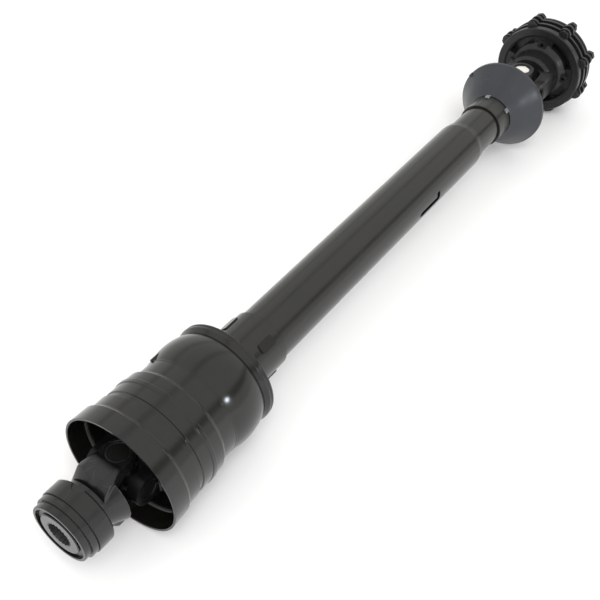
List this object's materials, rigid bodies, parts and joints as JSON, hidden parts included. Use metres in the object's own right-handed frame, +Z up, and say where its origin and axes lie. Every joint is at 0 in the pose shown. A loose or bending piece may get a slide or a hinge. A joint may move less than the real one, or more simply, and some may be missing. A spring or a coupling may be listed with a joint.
{
  "type": "universal joint shaft",
  "caption": "Telescoping agricultural drive shaft with a wide-angle joint under a bell shield, plastic guard tubes, a guard cone, a universal joint and a friction clutch.",
  "frame": {"origin": "centre of the tractor-side splined bore at its mouth, on the shaft's axis", "axes": "+X along the shaft from the tractor hub to the clutch, +Z up, with the shaft lying straight"},
  "size_m": [1.3, 0.171, 0.171],
  "materials": {
    "painted_steel": "black paint, satin",
    "bright_steel": "machined",
    "spring_steel": "oiled dark spring steel",
    "zinc_steel": "dull zinc",
    "tube_steel": "drawn tube, greased",
    "black_plastic": "moulded, glossy",
    "grey_plastic": "moulded, satin",
    "white_nylon": "natural nylon",
    "seal_rubber": "moulded",
    "friction_lining": "pressed lining",
    "bronze": "sintered"
  },
  "bodies": {
    "front_shaft": {"inner_shaft_yoke": "painted_steel", "inner_yoke_bearing_cups": "bright_steel", "inner_yoke_cup_rings": "spring_steel", "rear_centring_stud": "bright_steel", "inner_profile_tube": "tube_steel", "front_tube_pin": "spring_steel"},
    "middle_cross": {"middle_cross": "bright_steel", "middle_cross_seals": "seal_rubber", "middle_cross_nipple": "zinc_steel"},
    "centre_housing": {"housing_front_yoke": "painted_steel", "housing_rear_yoke": "painted_steel", "housing_bolts": "zinc_steel", "housing_bearing_cups": "bright_steel", "housing_cup_rings": "spring_steel"},
    "centring_disc": {"centring_disc": "bright_steel"},
    "centring_bush": {"centring_bush": "bright_steel"},
    "front_cross": {"front_cross": "bright_steel", "front_cross_seals": "seal_rubber", "front_cross_nipple": "zinc_steel"},
    "tractor_yoke": {"tractor_yoke": "painted_steel", "tractor_yoke_bearing_cups": "bright_steel", "tractor_yoke_cup_rings": "spring_steel", "front_centring_stud": "bright_steel", "locking_balls": "bright_steel", "collar_spring_washer": "spring_steel", "collar_snap_ring": "spring_steel", "collar_spring": "spring_steel"},
    "locking_collar": {"locking_collar": "black_plastic", "collar_lock_ring": "bright_steel"},
    "front_guard": {"bell_shield": "black_plastic", "shield_clamp_ring": "black_plastic", "guard_base": "black_plastic", "front_guard_bearing": "white_nylon", "outer_guard_tube": "black_plastic"},
    "rear_shaft": {"outer_profile_tube": "tube_steel", "rear_shaft_yoke": "painted_steel", "rear_tube_pin": "spring_steel", "rear_yoke_bearing_cups": "bright_steel", "rear_yoke_cup_rings": "spring_steel"},
    "rear_guard": {"inner_guard_tube": "black_plastic", "guard_cone": "grey_plastic", "rear_guard_bearing": "white_nylon", "cone_clips": "zinc_steel"},
    "rear_cross": {"rear_cross": "bright_steel", "rear_cross_seals": "seal_rubber", "rear_cross_nipple": "zinc_steel"},
    "clutch": {"clutch_yoke": "painted_steel", "clutch_yoke_bearing_cups": "bright_steel", "clutch_yoke_cup_rings": "spring_steel", "clutch_bushing": "bronze", "front_friction_disc": "friction_lining", "rear_friction_disc": "friction_lining", "pressure_plate": "painted_steel", "disc_spring": "spring_steel", "clutch_bolts": "zinc_steel", "clutch_nuts": "zinc_steel"},
    "clutch_hub": {"clutch_hub": "painted_steel", "clutch_drive_plate": "bright_steel", "hub_clamp_bolt": "zinc_steel"}
  },
  "joints": [
    {"name": "middle_cross_swing", "type": "hinge", "parent": "front_shaft", "child": "middle_cross", "pos_m": [0.18, 0, 0], "axis": [0, 0, 1], "range_deg": [-11, 11]},
    {"name": "housing_tilt", "type": "hinge", "parent": "middle_cross", "child": "centre_housing", "pos_m": [0.18, 0, 0], "axis": [0, 1, 0], "range_deg": [-11, 11]},
    {"name": "front_cross_tilt", "type": "hinge", "parent": "centre_housing", "child": "front_cross", "pos_m": [0.1, 0, 0], "axis": [0, 1, 0], "range_deg": [-11, 11]},
    {"name": "tractor_yoke_swing", "type": "hinge", "parent": "front_cross", "child": "tractor_yoke", "pos_m": [0.1, 0, 0], "axis": [0, 0, 1], "range_deg": [-11, 11]},
    {"name": "centring_disc_slide", "type": "slide", "parent": "centre_housing", "child": "centring_disc", "axis": [0, 1, 0], "range_m": [-0.0065, 0.0065]},
    {"name": "centring_bush_slide", "type": "slide", "parent": "centring_disc", "child": "centring_bush", "axis": [0, 0, 1], "range_m": [-0.0065, 0.0065]},
    {"name": "collar_slide", "type": "slide", "parent": "tractor_yoke", "child": "locking_collar", "axis": [1, 0, 0], "range_m": [0, 0.006], "stiffness_N_per_m": 2500, "springref_m": -0.006, "deforming": ["collar_spring"]},
    {"name": "front_guard_spin", "type": "hinge", "parent": "front_shaft", "child": "front_guard", "pos_m": [0.307, 0, 0], "axis": [1, 0, 0], "continuous": true},
    {"name": "shaft_telescope", "type": "slide", "parent": "front_shaft", "child": "rear_shaft", "axis": [1, 0, 0], "range_m": [-0.06, 0.35]},
    {"name": "rear_guard_spin", "type": "hinge", "parent": "rear_shaft", "child": "rear_guard", "pos_m": [1.019, 0, 0], "axis": [1, 0, 0], "continuous": true},
    {"name": "rear_cross_swing", "type": "hinge", "parent": "rear_shaft", "child": "rear_cross", "pos_m": [1.136, 0, 0], "axis": [0, 0, 1], "range_deg": [-25, 25]},
    {"name": "clutch_tilt", "type": "hinge", "parent": "rear_cross", "child": "clutch", "pos_m": [1.136, 0, 0], "axis": [0, 1, 0], "range_deg": [-25, 25]},
    {"name": "clutch_slip", "type": "hinge", "parent": "clutch", "child": "clutch_hub", "pos_m": [1.24, 0, 0], "axis": [1, 0, 0], "continuous": true}
  ],
  "couplings": [
    {"joint": "front_cross_tilt", "follows": "housing_tilt", "ratio": 1},
    {"joint": "tractor_yoke_swing", "follows": "middle_cross_swing", "ratio": 1},
    {"joint": "centring_disc_slide", "follows": "middle_cross_swing", "m_per_rad": 0.0328},
    {"joint": "centring_bush_slide", "follows": "housing_tilt", "m_per_rad": -0.0328}
  ]
}
